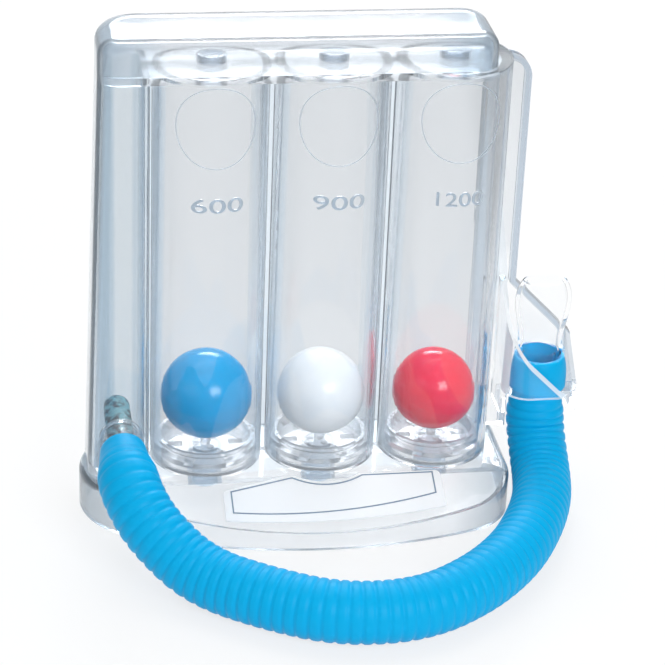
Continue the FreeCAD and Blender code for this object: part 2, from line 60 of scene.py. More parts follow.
def photo_camera():
    level_right = Vector((math.cos(VIEW_YAW), -math.sin(VIEW_YAW), 0))
    forward = Vector((math.sin(VIEW_YAW) * math.cos(VIEW_PITCH),
                      math.cos(VIEW_YAW) * math.cos(VIEW_PITCH),
                      -math.sin(VIEW_PITCH)))
    level_up = level_right.cross(forward)
    right = math.cos(VIEW_ROLL) * level_right + math.sin(VIEW_ROLL) * level_up
    up = math.cos(VIEW_ROLL) * level_up - math.sin(VIEW_ROLL) * level_right
    target = AXIS + Vector((0, 0, VIEW_HEIGHT)) + VIEW_RIGHT * right + VIEW_UP * up
    camera = bpy.data.objects.new("camera", bpy.data.cameras.new("camera"))
    camera.data.lens = LENS
    camera.data.sensor_width = SENSOR
    camera.data.clip_start = 0.01
    camera.data.clip_end = 20
    turn = Matrix((right, up, -forward)).transposed().to_4x4()
    camera.matrix_world = Matrix.Translation(target - VIEW_DISTANCE * forward) @ turn
    bpy.context.scene.collection.objects.link(camera)
    bpy.context.scene.camera = camera


photo_camera()

# The corrugated hose: blow-moulded blue tubing. It leaves the port, drops to the floor, runs
# round the front of the foot and rises into the holder. Its folds are narrow grooves between
# round crests, and both ends are drawn in to the plain cuffs.
HOSE_DIAMETER = 0.0174
HOSE_END_DIAMETER = 0.0142
HOSE_PITCH = 0.0032
HOSE_GROOVE = 0.00042
HOSE_GROOVE_SHARPNESS = 3.0
HOSE_SHOULDER = 0.0105
HOSE_SAMPLES = 10
HOSE_CREASE = 60
HOSE_SIDES = 56
HOSE_BLUE = (0.0, 0.40, 0.75, 1)
HOSE_FIRST_RUN = 0.0085
FLOOR_LIE = HOSE_DIAMETER / 2
port_low, port_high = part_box("port_cuff")
cuff_low, cuff_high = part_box("holder_cuff")
PORT_AXIS = Vector(((port_low.x + port_high.x) / 2, port_low.y, (port_low.z + port_high.z) / 2))
HOLD_AXIS = Vector(((cuff_low.x + cuff_high.x) / 2, (cuff_low.y + cuff_high.y) / 2, cuff_low.z))
HOSE_ROUTE = [
    PORT_AXIS,
    PORT_AXIS + Vector((0, -HOSE_FIRST_RUN, 0)),
    AXIS + Vector((-0.0581, -0.0420, 0.0229)),
    AXIS + Vector((-0.0531, -0.0497, 0.0168)),
    AXIS + Vector((-0.0415, -0.0600, FLOOR_LIE)),
    AXIS + Vector((-0.0240, -0.0730, FLOOR_LIE)),
    AXIS + Vector((-0.0050, -0.0825, FLOOR_LIE)),
    AXIS + Vector((0.0170, -0.0820, FLOOR_LIE)),
    AXIS + Vector((0.0345, -0.0715, FLOOR_LIE)),
    AXIS + Vector((0.0480, -0.0575, FLOOR_LIE)),
    AXIS + Vector((0.0567, -0.0425, FLOOR_LIE)),
    AXIS + Vector((0.0625, -0.0285, FLOOR_LIE)),
    AXIS + Vector((0.0652, -0.0158, FLOOR_LIE)),
    AXIS + Vector((0.0655, -0.0067, 0.0138)),
    Vector((HOLD_AXIS.x, HOLD_AXIS.y, 0.0227)),
    HOLD_AXIS,
]


def add_object(name, data):
    piece = bpy.data.objects.new(name, data)
    bpy.context.scene.collection.objects.link(piece)
    return piece


def plain_mesh(name, source):
    """The evaluated shape of an object as a mesh of its own."""
    graph = bpy.context.evaluated_depsgraph_get()
    mesh = bpy.data.meshes.new_from_object(source.evaluated_get(graph))
    mesh.name = name
    return mesh


def hose_line():
    curve = bpy.data.curves.new("hose_line", "CURVE")
    curve.dimensions = "3D"
    curve.resolution_u = 24
    spline = curve.splines.new("NURBS")
    spline.points.add(len(HOSE_ROUTE) - 1)
    for point, place in zip(spline.points, HOSE_ROUTE):
        point.co = (*place, 1)
    spline.order_u = 3
    spline.use_endpoint_u = True
    line = add_object("hose_line", curve)
    mesh = plain_mesh("hose_line", line)
    bpy.data.objects.remove(line)
    return mesh


class Shading:
    """A shader tree, and short ways to add the nodes that a finish or the surroundings need."""

    def __init__(self, tree):
        self.tree = tree

    def node(self, kind, **values):
        node = self.tree.nodes.new(kind)
        for name, value in values.items():
            if hasattr(node, name):
                setattr(node, name, value)
            else:
                node.inputs[name.replace("_", " ")].default_value = value
        return node

    def link(self, source, target):
        self.tree.links.new(source, target)

    def place(self, axis, space="Object"):
        """A point's X, Y or Z."""
        place = self.node("ShaderNodeTexCoord")
        axes = self.node("ShaderNodeSeparateXYZ")
        self.link(place.outputs[space], axes.inputs[0])
        return axes.outputs[axis]

    def math(self, operation, first, second=0.0):
        """A sum on a socket and a second socket or a plain value."""
        node = self.node("ShaderNodeMath", operation=operation)
        self.link(first, node.inputs[0])
        if isinstance(second, bpy.types.NodeSocket):
            self.link(second, node.inputs[1])
        else:
            node.inputs[1].default_value = second
        return node.outputs[0]

    def ramp(self, value, from_min=0.0, from_max=1.0, to_min=0.0, to_max=1.0):
        """A value carried from one range to another, and held at the ends."""
        ramp = self.node("ShaderNodeMapRange", From_Min=from_min, From_Max=from_max, To_Min=to_min,
                         To_Max=to_max)
        self.link(value, ramp.inputs["Value"])
        return ramp.outputs["Result"]


class Finish(Shading):
    """A material with a Principled shader."""

    def __init__(self, name, colour, roughness, ior=1.5):
        self.material = bpy.data.materials.new(name)
        self.material.use_nodes = True
        super().__init__(self.material.node_tree)
        self.shader = self.tree.nodes["Principled BSDF"]
        self.output = self.tree.nodes["Material Output"]
        self.set("Base Color", colour)
        self.set("Roughness", roughness)
        self.set("IOR", ior)

    def set(self, socket, value):
        self.shader.inputs[socket].default_value = value

    def noise(self, scale, detail=2.0):
        place = self.node("ShaderNodeTexCoord")
        noise = self.node("ShaderNodeTexNoise", Scale=scale, Detail=detail)
        self.link(place.outputs["Object"], noise.inputs["Vector"])
        return noise.outputs["Fac"]

    def bump(self, height, strength, distance):
        bump = self.node("ShaderNodeBump", Strength=strength, Distance=distance)
        self.link(height, bump.inputs["Height"])
        self.link(bump.outputs["Normal"], self.shader.inputs["Normal"])

    def vary(self, socket, height, low, high):
        """A socket that wanders between two values with a noise."""
        self.link(self.ramp(height, to_min=low, to_max=high), self.shader.inputs[socket])

    def colours(self, height, low, high, band_low, band_high):
        """A base colour that passes from one shade to another while the height passes the band."""
        mix = self.node("ShaderNodeMix", data_type="RGBA")
        sockets = {socket.identifier: socket for socket in mix.inputs}
        sockets["A_Color"].default_value = low
        sockets["B_Color"].default_value = high
        self.link(self.ramp(height, band_low, band_high), sockets["Factor_Float"])
        results = {socket.identifier: socket for socket in mix.outputs}
        self.link(results["Result_Color"], self.shader.inputs["Base Color"])

    def give_way(self, share, other):
        """Let another shader take over from the plain one by a share."""
        mix = self.node("ShaderNodeMixShader")
        self.link(share, mix.inputs["Fac"])
        self.link(self.shader.outputs["BSDF"], mix.inputs[1])
        self.link(other, mix.inputs[2])
        self.link(mix.outputs["Shader"], self.output.inputs["Surface"])


def hose_finish():
    finish = Finish("hose_blue", HOSE_BLUE, roughness=0.42)
    finish.set("Specular IOR Level", 0.12)
    finish.bump(finish.noise(scale=900, detail=4), strength=0.12, distance=0.0001)
    finish.vary("Roughness", finish.noise(scale=60), low=0.36, high=0.5)
    return finish.material


hose_blue = hose_finish()


class Nodes:
    """A Geometry Nodes tree with named inputs, run once on an object and made into a mesh."""

    def __init__(self, name, inputs):
        self.tree = bpy.data.node_groups.new(name, "GeometryNodeTree")
        face = self.tree.interface
        face.new_socket("Geometry", in_out="INPUT", socket_type="NodeSocketGeometry")
        self.values = {}
        for label, value in inputs.items():
            kind = "NodeSocketInt" if isinstance(value, int) else "NodeSocketFloat"
            socket = face.new_socket(label, in_out="INPUT", socket_type=kind)
            self.values[socket.identifier] = value
        face.new_socket("Geometry", in_out="OUTPUT", socket_type="NodeSocketGeometry")
        self.source = self.tree.nodes.new("NodeGroupInput")
        self.result = self.tree.nodes.new("NodeGroupOutput")

    def add(self, kind, settings=None, **links):
        """A node with its inputs linked to sockets or set to values; _0 and _1 pick by index."""
        node = self.tree.nodes.new(kind)
        for name, value in (settings or {}).items():
            setattr(node, name, value)
        for name, value in links.items():
            key = int(name[1:]) if name[0] == "_" else name.replace("_", " ")
            if isinstance(value, bpy.types.NodeSocket):
                self.tree.links.new(value, node.inputs[key])
            else:
                node.inputs[key].default_value = value
        return node

    def math(self, operation, first, second=0.0):
        return self.add("ShaderNodeMath", {"operation": operation}, _0=first, _1=second).outputs[0]

    def given(self, label):
        return self.source.outputs[label]

    def run(self, name, mesh, shape, material):
        """Realize the shape, give it its material, and return it as an object with a plain mesh."""
        realized = self.add("GeometryNodeRealizeInstances", Geometry=shape)
        painted = self.add("GeometryNodeSetMaterial", Geometry=realized.outputs[0], Material=material)
        self.tree.links.new(painted.outputs[0], self.result.inputs[0])
        holder = add_object(name, mesh)
        modifier = holder.modifiers.new("shape", "NODES")
        modifier.node_group = self.tree
        for identifier, value in self.values.items():
            modifier[identifier] = value
        made = plain_mesh(name, holder)
        holder.modifiers.clear()
        holder.data = made
        return holder


def corrugated_hose(line):
    nodes = Nodes("corrugations", {
        "Radius": HOSE_DIAMETER / 2,
        "End Radius": HOSE_END_DIAMETER / 2,
        "Pitch": HOSE_PITCH,
        "Groove": HOSE_GROOVE,
        "Shoulder": HOSE_SHOULDER,
        "Step": HOSE_PITCH / HOSE_SAMPLES,
        "Sides": HOSE_SIDES,
    })
    curve = nodes.add("GeometryNodeMeshToCurve", Mesh=nodes.source.outputs[0])
    even = nodes.add("GeometryNodeResampleCurve", Curve=curve.outputs[0])
    if "Mode" in even.inputs:
        even.inputs["Mode"].default_value = "Length"
    else:
        even.mode = "LENGTH"
    nodes.tree.links.new(nodes.given("Step"), even.inputs["Length"])
    along = nodes.add("GeometryNodeSplineParameter").outputs["Length"]
    whole = nodes.add("GeometryNodeSplineLength").outputs["Length"]
    to_end = nodes.math("SUBTRACT", whole, along)
    nearest_end = nodes.math("MINIMUM", along, to_end)
    grown = nodes.add("ShaderNodeMapRange", {"interpolation_type": "SMOOTHSTEP"}, Value=nearest_end,
                      From_Max=nodes.given("Shoulder")).outputs[0]
    turn = nodes.math("MULTIPLY", nodes.math("DIVIDE", along, nodes.given("Pitch")), math.tau)
    wave = nodes.math("ADD", nodes.math("MULTIPLY", nodes.math("COSINE", turn), 0.5), 0.5)
    sharp = nodes.math("POWER", wave, HOSE_GROOVE_SHARPNESS)
    groove = nodes.math("MULTIPLY", sharp, nodes.given("Groove"))
    room = nodes.math("SUBTRACT", nodes.given("Radius"), nodes.given("End Radius"))
    crest = nodes.math("ADD", nodes.given("End Radius"), nodes.math("MULTIPLY", room, grown))
    radius = nodes.math("SUBTRACT", crest, nodes.math("MULTIPLY", groove, grown))
    sized = nodes.add("GeometryNodeSetCurveRadius", Curve=even.outputs[0], Radius=radius)
    ring = nodes.add("GeometryNodeCurvePrimitiveCircle", Resolution=nodes.given("Sides"), Radius=1.0)
    tube = nodes.add("GeometryNodeCurveToMesh", Curve=sized.outputs[0], Profile_Curve=ring.outputs[0])
    tube.inputs["Fill Caps"].default_value = True
    if "Scale" in tube.inputs:
        nodes.tree.links.new(radius, tube.inputs["Scale"])
    return nodes.run("corrugated_tubing", line, tube.outputs[0], hose_blue)


def smooth(mesh, angle):
    """Smooth shading with creases kept where faces meet at more than the angle."""
    mesh.polygons.foreach_set("use_smooth", [True] * len(mesh.polygons))
    mesh.set_sharp_from_angle(angle=math.radians(angle))


hose_path = hose_line()
hose = corrugated_hose(hose_path)
smooth(hose.data, HOSE_CREASE)
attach(hose, "trainer")
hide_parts("corrugated_hose")

# The hose's plain ends: a short cuff pushed over the port's nipple, and a heavier one with a
# domed shoulder that parks in the holder. Both are the same blue plastic as the hose.
CUFF_EDGE = 0.0006
CUFF_SEGMENTS = 96
DOME_HEIGHT = 0.0070
CUFF_SWELL = 0.0005
DOME_STEPS = 10
DOME_RIM = 0.0004
PORT_CUFF_WALL = 0.00145
HOLDER_CUFF_BORE = 0.00626
TURNED_CREASE = 35
TURNED_MERGE = 1e-7


def lathe(name, profile, origin, axis, segments, material):
    """Turn a closed (radius, height) profile about an axis through the origin."""
    axis = Vector(axis).normalized()
    side = axis.orthogonal().normalized()
    across = axis.cross(side)
    shape = bmesh.new()
    rings = []
    for step in range(segments):
        angle = math.tau * step / segments
        out = math.cos(angle) * side + math.sin(angle) * across
        rings.append([shape.verts.new(Vector(origin) + radius * out + height * axis)
                      for radius, height in profile])
    for step in range(segments):
        here = rings[step]
        there = rings[(step + 1) % segments]
        for index in range(len(profile)):
            after = (index + 1) % len(profile)
            shape.faces.new((here[index], there[index], there[after], here[after]))
    bmesh.ops.remove_doubles(shape, verts=shape.verts, dist=TURNED_MERGE)
    bmesh.ops.recalc_face_normals(shape, faces=shape.faces)
    mesh = bpy.data.meshes.new(name)
    shape.to_mesh(mesh)
    shape.free()
    mesh.materials.append(material)
    smooth(mesh, TURNED_CREASE)
    return add_object(name, mesh)


def rounded(radius, low, high, edge, steps=4):
    """Points of an outer wall from low to high with a rounded edge at both ends."""
    points = []
    for step in range(steps + 1):
        angle = math.pi / 2 * step / steps
        points.append((radius - edge + edge * math.sin(angle), low + edge - edge * math.cos(angle)))
    for step in range(steps + 1):
        angle = math.pi / 2 * step / steps
        points.append((radius - edge + edge * math.cos(angle), high - edge + edge * math.sin(angle)))
    return points


def port_cuff():
    radius = (port_high.x - port_low.x) / 2
    length = port_high.y - port_low.y
    bore = radius - PORT_CUFF_WALL
    profile = rounded(radius, 0, length, CUFF_EDGE) + [(bore, length), (bore, 0)]
    return lathe("port_cuff_blue", profile, PORT_AXIS, (0, 1, 0), CUFF_SEGMENTS, hose_blue)


def holder_cuff():
    radius = (cuff_high.x - cuff_low.x) / 2 + CUFF_SWELL
    length = cuff_high.z - cuff_low.z
    rim = HOLDER_CUFF_BORE + DOME_RIM
    profile = [(HOLDER_CUFF_BORE, 0), (radius, 0), (radius, length - DOME_HEIGHT)]
    for step in range(1, DOME_STEPS + 1):
        angle = math.pi / 2 * step / DOME_STEPS
        profile.append((rim + (radius - rim) * math.cos(angle),
                        length - DOME_HEIGHT + DOME_HEIGHT * math.sin(angle)))
    profile.append((HOLDER_CUFF_BORE, length))
    return lathe("holder_cuff_blue", profile, HOLD_AXIS, (0, 0, 1), CUFF_SEGMENTS, hose_blue)


for make, node in ((port_cuff, "port_cuff"), (holder_cuff, "holder_cuff")):
    cuff = make()
    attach(cuff, "trainer")
    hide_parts(node)

# The clear moulding: chambers, side duct, rail and holder, roof, cap and foot, in crystal-clear
# polystyrene. The pieces that meet face to face are welded into one shape, since light would be
# trapped in the seams between them. Its walls between the chambers are milkier than its plain
# walls. The darker tints on its left and right ends, rims and outlet collars are painted shade. The
# dark grey on the foot's bottom rim is a painted shadow, and the milky white on the holder's lip is
# a painted highlight.
STYRENE_TINT = (0.85, 0.865, 0.88, 1)
STYRENE_IOR = 1.38
STYRENE_CLEAR = 0.98
STYRENE_SHADOW = (0.9, 0.915, 0.93, 1)
RIPPLE_SCALE = 70
RIPPLE_HEIGHT = 0.0004
CAP_TINT = (0.79, 0.81, 0.83, 1)
# Painted shade: the darker tint laid on the cap's left and right ends.
CAP_END_PAINTED_SHADE = (0.60, 0.67, 0.73, 1)
CAP_CLEAR = 0.88
FOOT_TINT = (0.90, 0.915, 0.93, 1)
# Painted shade: the darker tint laid on the foot's left and right ends.
FOOT_END_PAINTED_SHADE = (0.52, 0.58, 0.63, 1)
FOOT_CLEAR = 0.88
# Painted shadow: a dark grey on the foot's bottom rim, where it stands on the floor.
FOOT_RIM_PAINTED_SHADOW = (0.36, 0.42, 0.48, 1)
FOOT_RIM_SHADOW_CLEAR = 0.7
END_FAR = 0.020
END_NEAR = 0.002
DUCT_TINT = (0.80, 0.83, 0.85, 1)
# Painted shade: the darker tint laid on the duct's left and right ends.
DUCT_END_PAINTED_SHADE = (0.62, 0.70, 0.76, 1)
DUCT_CLEAR = 0.89
DUCT_END_FAR = 0.0062
DUCT_END_NEAR = 0.0052
DUCT_END_SHIFT = 0.0020
# Painted shade: a darker blue-grey on the moulding's left end and the cap's right end.
SIDE_PAINTED_SHADE = (0.70, 0.77, 0.83, 1)
SIDE_CLEAR = 0.9
SIDE_REACH = 0.0036
WEB_TINT = (0.82, 0.88, 0.93, 1)
WEB_CLEAR = 0.84
WEB_REACH = 0.0034
# Painted shade: a darker tint on the rail's rim, the holder's outer wall and the outlet collars.
EDGE_PAINTED_SHADE = (0.55, 0.62, 0.70, 1)
EDGE_CLEAR = 0.95
OUTLET_REACH = 0.0045
RAIL_TINT = (0.81, 0.835, 0.86, 1)
RIM_SPAN = 0.0038
RIM_PROUD = 0.0005
RIM_OVER = 0.001
RIM_SIDEWAYS = 0.3
HOLDER_TINT = (0.96, 0.965, 0.97, 1)
HOLDER_IOR = 1.3
HOLDER_TOP = 0.068
HOLDER_FADE = 0.006
# Painted highlight: a milky white on the holder window's cut edge, its pocket's lower lip and the
# pocket's wall beside the chamber.
LIP_PAINTED_HIGHLIGHT = (0.93, 0.96, 0.98, 1)
LIP_HIGHLIGHT_CLEAR = 0.3
LIP_DEPTH = 0.0015
LIP_OUTWARD = 0.1
LIP_UPWARD = 0.3
WALL = 0.0018
SQUARE_ON = 0.9
WELD_ANGLE = 30
WELD_MERGE = 1e-6
FOOT_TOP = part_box("base_foot")[1].z
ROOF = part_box("outlet_plate")[0].z - WALL / 10
RAIL_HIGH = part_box("side_rail")[1]
CHAMBER_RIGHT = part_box("chamber_1200")[1].x
CAP_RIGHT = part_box("top_cap")[1].x
DUCT_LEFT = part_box("air_duct")[0].x
DUCT_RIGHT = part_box("chamber_600")[0].x - WALL
last_seat_low, last_seat_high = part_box("ball_seat_1200")
PITCH = (last_seat_low.x + last_seat_high.x) / 2 - AXIS.x
MOULDING = ("chamber_600", "chamber_900", "chamber_1200", "air_duct", "side_rail", "outlet_plate",
            "top_cap", "base_foot", "hose_port")


def clear_finish(name, tint, clear, roughness, ripple=0.2, ior=STYRENE_IOR):
    """A clear plastic with slightly wavy walls that lets the lamps' light through."""
    finish = Finish(name, tint, roughness, ior)
    finish.set("Transmission Weight", clear)
    finish.bump(finish.noise(RIPPLE_SCALE, detail=1), ripple, RIPPLE_HEIGHT)
    lamp_way = finish.node("ShaderNodeBsdfTransparent", Color=STYRENE_SHADOW)
    path = finish.node("ShaderNodeLightPath")
    finish.give_way(path.outputs["Is Shadow Ray"], lamp_way.outputs["BSDF"])
    return finish


def paint_end_shade(finish, node, tint, end_shade, far=END_FAR, near=END_NEAR, shift=0.0):
    """Paint shade on the left and right ends of a node with a darker tint; far and near are the
    depths under its end faces where the painted shade starts and where it is full."""
    low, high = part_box(node)
    half = (high.x - low.x) / 2
    away = finish.math("SUBTRACT", finish.place("X"), low.x + half + shift)
    finish.colours(finish.math("ABSOLUTE", away), tint, end_shade, half - far, half - near)


def merged_mesh(node, name):
    """A CAD node's own shape with its doubled corners merged and its old materials gone."""
    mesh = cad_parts[node].data.copy()
    mesh.name = name
    shape = bmesh.new()
    shape.from_mesh(mesh)
    bmesh.ops.remove_doubles(shape, verts=shape.verts, dist=WELD_MERGE)
    shape.to_mesh(mesh)
    shape.free()
    mesh.materials.clear()
    for layer in list(mesh.attributes):
        if layer.name == "custom_normal":
            mesh.attributes.remove(layer)
    return mesh


def welded(nodes, name, finish):
    """One visual piece made of one or more CAD nodes, shaded smoothly round its curved walls."""
    base = add_object(name, merged_mesh(nodes[0], name))
    if len(nodes) > 1:
        group = bpy.data.collections.new(name + "_parts")
        parts = []
        for node in nodes[1:]:
            part = bpy.data.objects.new(node + "_part", merged_mesh(node, node + "_part"))
            group.objects.link(part)
            parts.append(part)
        weld = base.modifiers.new("weld", "BOOLEAN")
        weld.operation = "UNION"
        weld.operand_type = "COLLECTION"
        weld.solver = "EXACT"
        weld.collection = group
        whole = plain_mesh(name, base)
        base.modifiers.clear()
        base.data = whole
        for part in parts:
            bpy.data.objects.remove(part)
        bpy.data.collections.remove(group)
    base.data.materials.clear()
    base.data.materials.append(finish.material)
    smooth(base.data, WELD_ANGLE)
    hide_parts(*nodes)
    return base


def is_rim(centre, normal):
    """Whether a face belongs to the rail's raised rim or to the holder's outer wall."""
    if centre.x < CHAMBER_RIGHT or centre.z > RAIL_HIGH.z + RIM_OVER:
        return False
    if centre.x > RAIL_HIGH.x - WALL and abs(normal.x) > SQUARE_ON:
        return True
    if centre.y < RAIL_HIGH.y - RIM_SPAN:
        return False
    proud = centre.y > RAIL_HIGH.y - RIM_PROUD or centre.y < RAIL_HIGH.y - RIM_SPAN + RIM_PROUD
    return proud or abs(normal.y) < RIM_SIDEWAYS


def is_lip(centre, normal):
    """Whether a face is the cut edge of the holder's front window, the lower lip of its pocket or
    the pocket's wall beside the chamber."""
    if centre.x < CHAMBER_RIGHT + LIP_DEPTH or centre.y > HOLD_AXIS.y or centre.z > HOLDER_TOP:
        return False
    falling = normal.x > LIP_OUTWARD and normal.z > LIP_UPWARD
    lower = abs(normal.z) > SQUARE_ON and abs(centre.z - cuff_low.z) < LIP_DEPTH
    beside = abs(normal.x) > SQUARE_ON and centre.x < cuff_low.x and centre.z > cuff_low.z
    return falling or lower or beside


def near_web(centre):
    """Whether a face lies between two chambers, or between a chamber and the duct or the rail."""
    steps = (centre.x - AXIS.x) / PITCH - 0.5
    return abs(steps - round(steps)) * PITCH < WEB_REACH


def near_outlet(centre):
    """Whether a face belongs to the collar of one of the three outlet holes."""
    offsets = [centre.x - AXIS.x - side * PITCH for side in (-1, 0, 1)]
    return min(math.hypot(offset, centre.y - AXIS.y) for offset in offsets) < OUTLET_REACH


def moulding_place(centre, normal):
    """The name of the finish for a face of the moulding, by where it lies."""
    # Painted shade on the moulding's left end above the foot.
    if centre.z > FOOT_TOP and centre.x < DUCT_LEFT + SIDE_REACH:
        return "side"
    if centre.z > ROOF:
        # Painted shade on the cap's right end.
        if centre.x > CAP_RIGHT - SIDE_REACH:
            return "side"
        # Painted shade on the outlet collars.
        return "edge" if near_outlet(centre) else "cap"
    # Painted shadow on the foot's bottom rim.
    if centre.z < WALL / 2 and normal.z < -SQUARE_ON:
        return "painted foot shadow"
    if centre.z < FOOT_TOP - WALL / 20:
        return "foot"
    # Painted highlight on the holder's lip and window edge.
    if is_lip(centre, normal):
        return "lip"
    # Painted shade on the rail's rim and the holder's outer wall.
    if is_rim(centre, normal):
        return "edge"
    if centre.x < DUCT_RIGHT:
        return "duct"
    if centre.x > CHAMBER_RIGHT:
        return "holder"
    if centre.x < CHAMBER_RIGHT and near_web(centre):
        return "web"
    return "wall"


def moulding_finishes():
    """The finishes by place, in the order of the moulding's material slots."""
    # The cap, foot and duct carry painted shade, darker tints towards their left and right ends.
    cap = clear_finish("cap_styrene_shaded_ends", CAP_TINT, CAP_CLEAR, roughness=0.12)
    paint_end_shade(cap, "top_cap", CAP_TINT, CAP_END_PAINTED_SHADE)
    foot = clear_finish("foot_styrene_shaded_ends", FOOT_TINT, FOOT_CLEAR, roughness=0.09)
    paint_end_shade(foot, "base_foot", FOOT_TINT, FOOT_END_PAINTED_SHADE)
    duct = clear_finish("duct_styrene_shaded_ends", DUCT_TINT, DUCT_CLEAR, roughness=0.03, ripple=0.3)
    paint_end_shade(duct, "air_duct", DUCT_TINT, DUCT_END_PAINTED_SHADE, DUCT_END_FAR, DUCT_END_NEAR,
                DUCT_END_SHIFT)
    holder = clear_finish("holder_styrene", HOLDER_TINT, STYRENE_CLEAR, roughness=0.03,
                          ior=HOLDER_IOR)
    holder.colours(holder.place("Z"), HOLDER_TINT, RAIL_TINT, HOLDER_TOP, HOLDER_TOP + HOLDER_FADE)
    return {
        "wall": clear_finish("clear_styrene", STYRENE_TINT, STYRENE_CLEAR, roughness=0.02,
                             ripple=0.25),
        "cap": cap,
        "foot": foot,
        # Painted shade on the rims and outlet collars.
        "edge": clear_finish("edge_painted_shade", EDGE_PAINTED_SHADE, EDGE_CLEAR, roughness=0.04, ripple=0.1),
        "duct": duct,
        "web": clear_finish("web_styrene", WEB_TINT, WEB_CLEAR, roughness=0.08),
        # Painted shadow on the foot's bottom rim.
        "painted foot shadow": clear_finish("foot_rim_painted_shadow", FOOT_RIM_PAINTED_SHADOW, FOOT_RIM_SHADOW_CLEAR, roughness=0.2,
                                 ripple=0.1),
        # Painted shade on the moulding's left end and the cap's right end.
        "side": clear_finish("side_painted_shade", SIDE_PAINTED_SHADE, SIDE_CLEAR, roughness=0.1),
        "holder": holder,
        # Painted highlight on the holder's lip and window edge.
        "lip": clear_finish("lip_painted_highlight", LIP_PAINTED_HIGHLIGHT, LIP_HIGHLIGHT_CLEAR, roughness=0.2),
    }


def clear_moulding():
    finishes = moulding_finishes()
    moulding = welded(MOULDING, "moulding_clear", finishes["wall"])
    order = list(finishes)
    for name in order[1:]:
        moulding.data.materials.append(finishes[name].material)
    for face in moulding.data.polygons:
        face.material_index = order.index(moulding_place(face.center, face.normal))
    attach(moulding, "trainer")


clear_moulding()

# The ball seats: a ring with a slotted floor and a nub for the ball, pushed into the foot of each
# chamber. They are of the same clear plastic, milky in the ring and floor. The inlet tube that hangs
# under the foot's top carries painted shade, a darker tint.
SEAT_TINT = (0.93, 0.94, 0.95, 1)
SEAT_CLEAR = 0.80
# Painted shade: a darker tint on the inlet tube under the foot's top.
INLET_PAINTED_SHADE = (0.66, 0.75, 0.83, 1)
INLET_CLEAR = 0.85
SEATS = ("ball_seat_600", "ball_seat_900", "ball_seat_1200")


def clear_seats():
    milky = clear_finish("seat_styrene", SEAT_TINT, SEAT_CLEAR, roughness=0.12, ripple=0.1)
    inlet = clear_finish("inlet_painted_shade", INLET_PAINTED_SHADE, INLET_CLEAR, roughness=0.1, ripple=0.1)
    for node in SEATS:
        seat = welded([node], node + "_clear", milky)
        seat.data.materials.append(inlet.material)
        for face in seat.data.polygons:
            # Painted shade on the faces below the foot's top.
            if face.center.z < FOOT_TOP - WALL:
                face.material_index = 1
        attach(seat, "trainer")


clear_seats()

# The mouthpiece: a clear push-fit piece that stands in the hose's upper cuff. Its plastic is so
# thin and plain that little more than its edge shows in front of a white background.
MOUTH_TINT = (0.98, 0.985, 0.99, 1)
MOUTH_IOR = 1.05
MOUTH_CLEAR = 0.99
mouth_clear = clear_finish("mouth_clear", MOUTH_TINT, MOUTH_CLEAR, roughness=0.04, ripple=0.05,
                           ior=MOUTH_IOR)
mouth = welded(["mouthpiece"], "mouthpiece_clear", mouth_clear)
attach(mouth, "mouthpiece")

# The filter: a plug of open teal foam in the port's bore that reaches back into the duct, and
# shows through the duct's front wall above the hose.
FILTER_RADIUS = 0.0039
FILTER_FRONT = -0.0125
FILTER_BACK = 0.0062
FILTER_DARK = (0.0, 0.012, 0.02, 1)
FILTER_LIGHT = (0.12, 0.34, 0.38, 1)
FILTER_GRAIN = 480
FILTER_PATCH_LOW = 0.42
FILTER_PATCH_HIGH = 0.58
FILTER_EDGE = 0.0003
FILTER_SEGMENTS = 64


def foam_finish():
    finish = Finish("filter_foam", FILTER_LIGHT, roughness=0.9)
    grain = finish.noise(scale=FILTER_GRAIN, detail=1)
    finish.colours(grain, FILTER_DARK, FILTER_LIGHT, FILTER_PATCH_LOW, FILTER_PATCH_HIGH)
    finish.bump(finish.noise(scale=900, detail=4), strength=0.6, distance=0.0004)
    return finish.material


def foam_filter():
    length = FILTER_BACK - FILTER_FRONT
    profile = [(0, 0)] + rounded(FILTER_RADIUS, 0, length, FILTER_EDGE) + [(0, length)]
    origin = Vector((PORT_AXIS.x, AXIS.y + FILTER_FRONT, PORT_AXIS.z))
    plug = lathe("filter_foam", profile, origin, (0, 1, 0), FILTER_SEGMENTS, foam_finish())
    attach(plug, "trainer")


foam_filter()

# The balls: thin-walled polypropylene, blue, white and red, each with the faint moulding seam
# round its middle where its two halves are welded.
BALLS = {
    "600": ((0.0, 0.36, 0.72, 1), 0.16, "blue_ball"),
    "900": ((0.93, 0.93, 0.93, 1), 0.18, "white_ball"),
    "1200": ((0.94, 0.018, 0.058, 1), 0.14, "red_ball"),
}
SEAM_AXIS = (0.25, -0.2, 1)
SEAM_WIDTH = 0.0005
SEAM_HEIGHT = 0.00008
BALL_SEGMENTS = 128


def ball_profile(radius):
    """Half a circle from pole to pole with a low ridge at the middle."""
    steps = BALL_SEGMENTS // 2
    points = []
    for step in range(steps + 1):
        angle = math.pi * step / steps
        height = -radius * math.cos(angle)
        ridge = SEAM_HEIGHT * math.exp(-(height / SEAM_WIDTH) ** 2)
        points.append(((radius + ridge) * math.sin(angle), height))
    return points


def ball(name, colour, roughness):
    low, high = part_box("ball_" + name)
    centre = (low + high) / 2
    finish = Finish("ball_" + name, colour, roughness)
    finish.bump(finish.noise(scale=500, detail=3), strength=0.05, distance=0.0001)
    finish.vary("Roughness", finish.noise(scale=120), low=roughness * 0.85, high=roughness * 1.25)
    radius = (high.z - low.z) / 2
    return lathe("ball_%s_shell" % name, ball_profile(radius), centre, SEAM_AXIS,
                 BALL_SEGMENTS, finish.material)


for name, (colour, roughness, slot) in BALLS.items():
    shell = ball(name, colour, roughness)
    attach(shell, "ball_" + name)
    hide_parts("ball_" + name)

